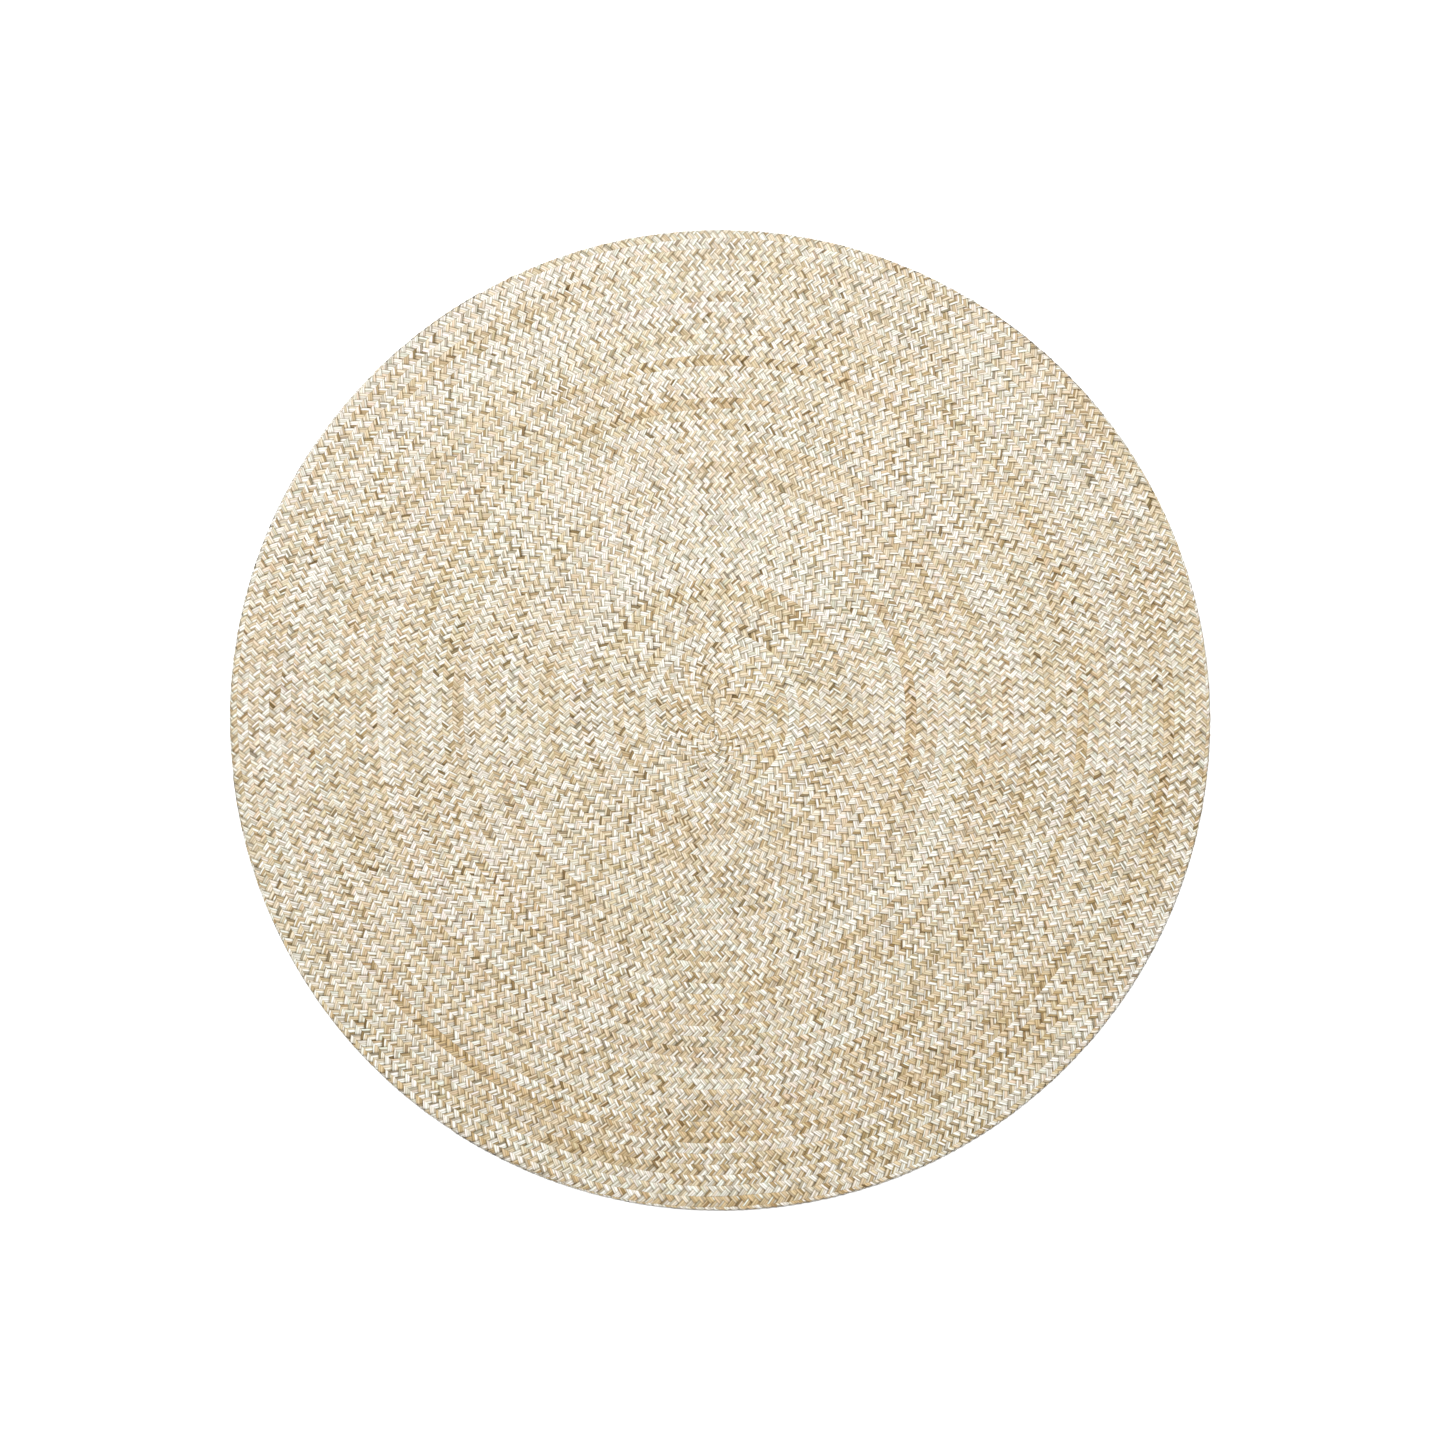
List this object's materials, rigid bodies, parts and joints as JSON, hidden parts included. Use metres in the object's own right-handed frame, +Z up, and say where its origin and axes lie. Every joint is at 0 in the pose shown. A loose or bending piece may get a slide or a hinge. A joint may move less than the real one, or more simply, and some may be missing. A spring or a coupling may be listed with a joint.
{
  "type": "round jute rug",
  "caption": "Flat round rug of two three-strand jute plaits, coiled side by side from a short straight start and sewn edge to edge, with a ribbed top and a flat underside.",
  "frame": {"origin": "middle of the round underside, on the surface the rug lies on", "axes": "+Z up, out of the rug's ribbed upper side; X and Y lie in the floor, the straight start at the middle runs along Y"},
  "size_m": [1.83, 1.83, 0.0095],
  "materials": {
    "jute_yarn": "matt plaited yarn, off-white and raw jute mixed"
  },
  "bodies": {
    "root": {"braided_mat": "jute_yarn"}
  },
  "joints": []
}
